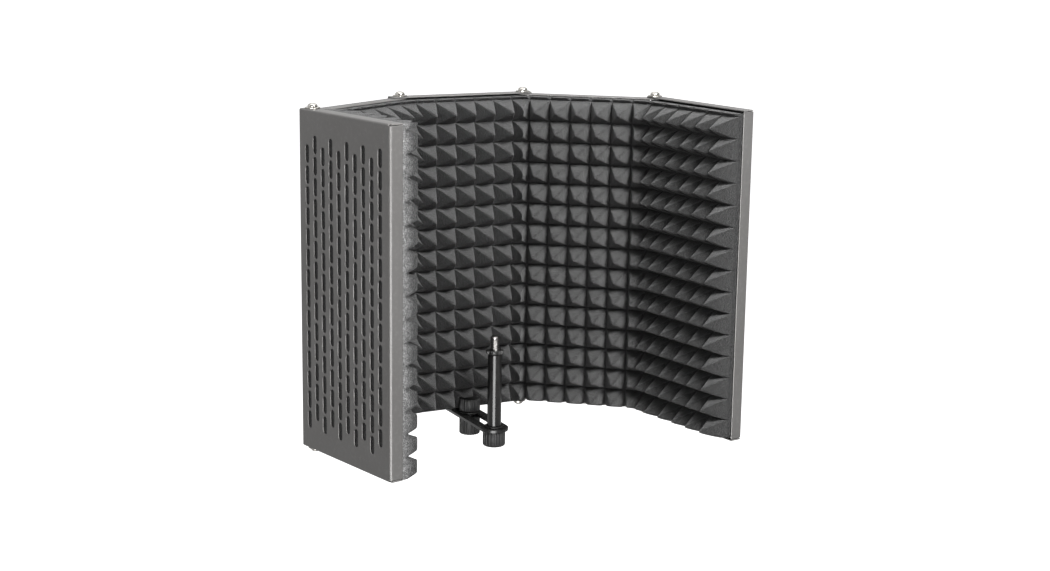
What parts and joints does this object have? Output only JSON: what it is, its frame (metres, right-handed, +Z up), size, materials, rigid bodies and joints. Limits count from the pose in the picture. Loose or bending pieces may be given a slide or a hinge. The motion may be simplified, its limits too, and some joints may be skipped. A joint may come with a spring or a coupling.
{
  "type": "microphone isolation shield",
  "caption": "Folding microphone isolation shield: perforated metal trays lined with pyramid foam on a slotted arm with a microphone post and stand adapter.",
  "frame": {"origin": "centre of the stand adapter's lower mouth, where a microphone stand screws in", "axes": "+Z up along the adapter's axis, +Y out through the back of the centre panel, so the foam faces -Y, +X to the right seen from the foam side"},
  "size_m": [0.3922, 0.2281, 0.3464],
  "materials": {
    "tray_paint": "satin",
    "acoustic_foam": "matte",
    "black_metal": "satin",
    "black_plastic": "satin",
    "nickel": "polished",
    "brass": "satin"
  },
  "bodies": {
    "stand_adapter": {"stand_socket": "black_plastic", "clamp_bolt": "nickel"},
    "clamp_slide": {"clamp_bush": "black_plastic"},
    "clamp_knob": {"clamp_knob": "black_plastic", "clamp_knob_insert": "brass", "clamp_washer": "black_metal"},
    "shield": {"centre_tray": "tray_paint", "centre_foam": "acoustic_foam", "arm_plate": "black_metal", "arm_left_rivet": "black_metal", "arm_right_rivet": "black_metal", "left_inner_hinge_top_screw": "nickel", "left_inner_hinge_top_washer": "nickel", "left_inner_hinge_top_nut": "nickel", "left_inner_hinge_bottom_screw": "nickel", "left_inner_hinge_bottom_washer": "nickel", "left_inner_hinge_bottom_nut": "nickel", "right_inner_hinge_top_screw": "nickel", "right_inner_hinge_top_washer": "nickel", "right_inner_hinge_top_nut": "nickel", "right_inner_hinge_bottom_screw": "nickel", "right_inner_hinge_bottom_washer": "nickel", "right_inner_hinge_bottom_nut": "nickel"},
    "left_inner_panel": {"left_inner_tray": "tray_paint", "left_inner_foam": "acoustic_foam"},
    "left_end_panel": {"left_end_tray": "tray_paint", "left_end_foam": "acoustic_foam", "left_outer_hinge_top_screw": "nickel", "left_outer_hinge_top_washer": "nickel", "left_outer_hinge_top_nut": "nickel", "left_outer_hinge_bottom_screw": "nickel", "left_outer_hinge_bottom_washer": "nickel", "left_outer_hinge_bottom_nut": "nickel"},
    "right_inner_panel": {"right_inner_tray": "tray_paint", "right_inner_foam": "acoustic_foam"},
    "right_end_panel": {"right_end_tray": "tray_paint", "right_end_foam": "acoustic_foam", "right_outer_hinge_top_screw": "nickel", "right_outer_hinge_top_washer": "nickel", "right_outer_hinge_top_nut": "nickel", "right_outer_hinge_bottom_screw": "nickel", "right_outer_hinge_bottom_washer": "nickel", "right_outer_hinge_bottom_nut": "nickel"},
    "mic_post": {"post_rod": "black_metal", "post_washer": "black_metal", "post_bush": "black_plastic"},
    "lock_ring": {"post_lock_ring": "black_metal"},
    "post_knob": {"post_knob": "black_plastic", "post_knob_insert": "brass"}
  },
  "joints": [
    {"name": "arm_swivel", "type": "hinge", "parent": "stand_adapter", "child": "clamp_slide", "pos_m": [0, 0, 0.0197], "axis": [0, 0, 1], "continuous": true},
    {"name": "arm_slide", "type": "slide", "parent": "clamp_slide", "child": "shield", "axis": [0, 1, 0], "range_m": [0, 0.015]},
    {"name": "clamp_knob_turn", "type": "hinge", "parent": "stand_adapter", "child": "clamp_knob", "pos_m": [0, 0, 0.03], "axis": [0, 0, 1], "continuous": true},
    {"name": "left_inner_fold", "type": "hinge", "parent": "shield", "child": "left_inner_panel", "pos_m": [-0.067, 0.023, 0.18], "axis": [0, 0, 1], "range_deg": [-30.5, 19.5]},
    {"name": "left_outer_fold", "type": "hinge", "parent": "left_inner_panel", "child": "left_end_panel", "pos_m": [-0.18246, -0.04501, 0.18], "axis": [0, 0, 1], "range_deg": [-71.5, 3.5]},
    {"name": "right_inner_fold", "type": "hinge", "parent": "shield", "child": "right_inner_panel", "pos_m": [0.067, 0.023, 0.18], "axis": [0, 0, -1], "range_deg": [-39.5, 10.5]},
    {"name": "right_outer_fold", "type": "hinge", "parent": "right_inner_panel", "child": "right_end_panel", "pos_m": [0.1704, -0.06223, 0.18], "axis": [0, 0, -1], "range_deg": [-41.5, 33.5]},
    {"name": "post_slide", "type": "slide", "parent": "shield", "child": "mic_post", "axis": [0, 1, 0], "range_m": [0, 0.018]},
    {"name": "lock_ring_turn", "type": "hinge", "parent": "mic_post", "child": "lock_ring", "pos_m": [0, -0.056, 0.0975], "axis": [0, 0, 1], "continuous": true},
    {"name": "post_knob_turn", "type": "hinge", "parent": "mic_post", "child": "post_knob", "pos_m": [0, -0.056, 0.01], "axis": [0, 0, 1], "continuous": true}
  ]
}
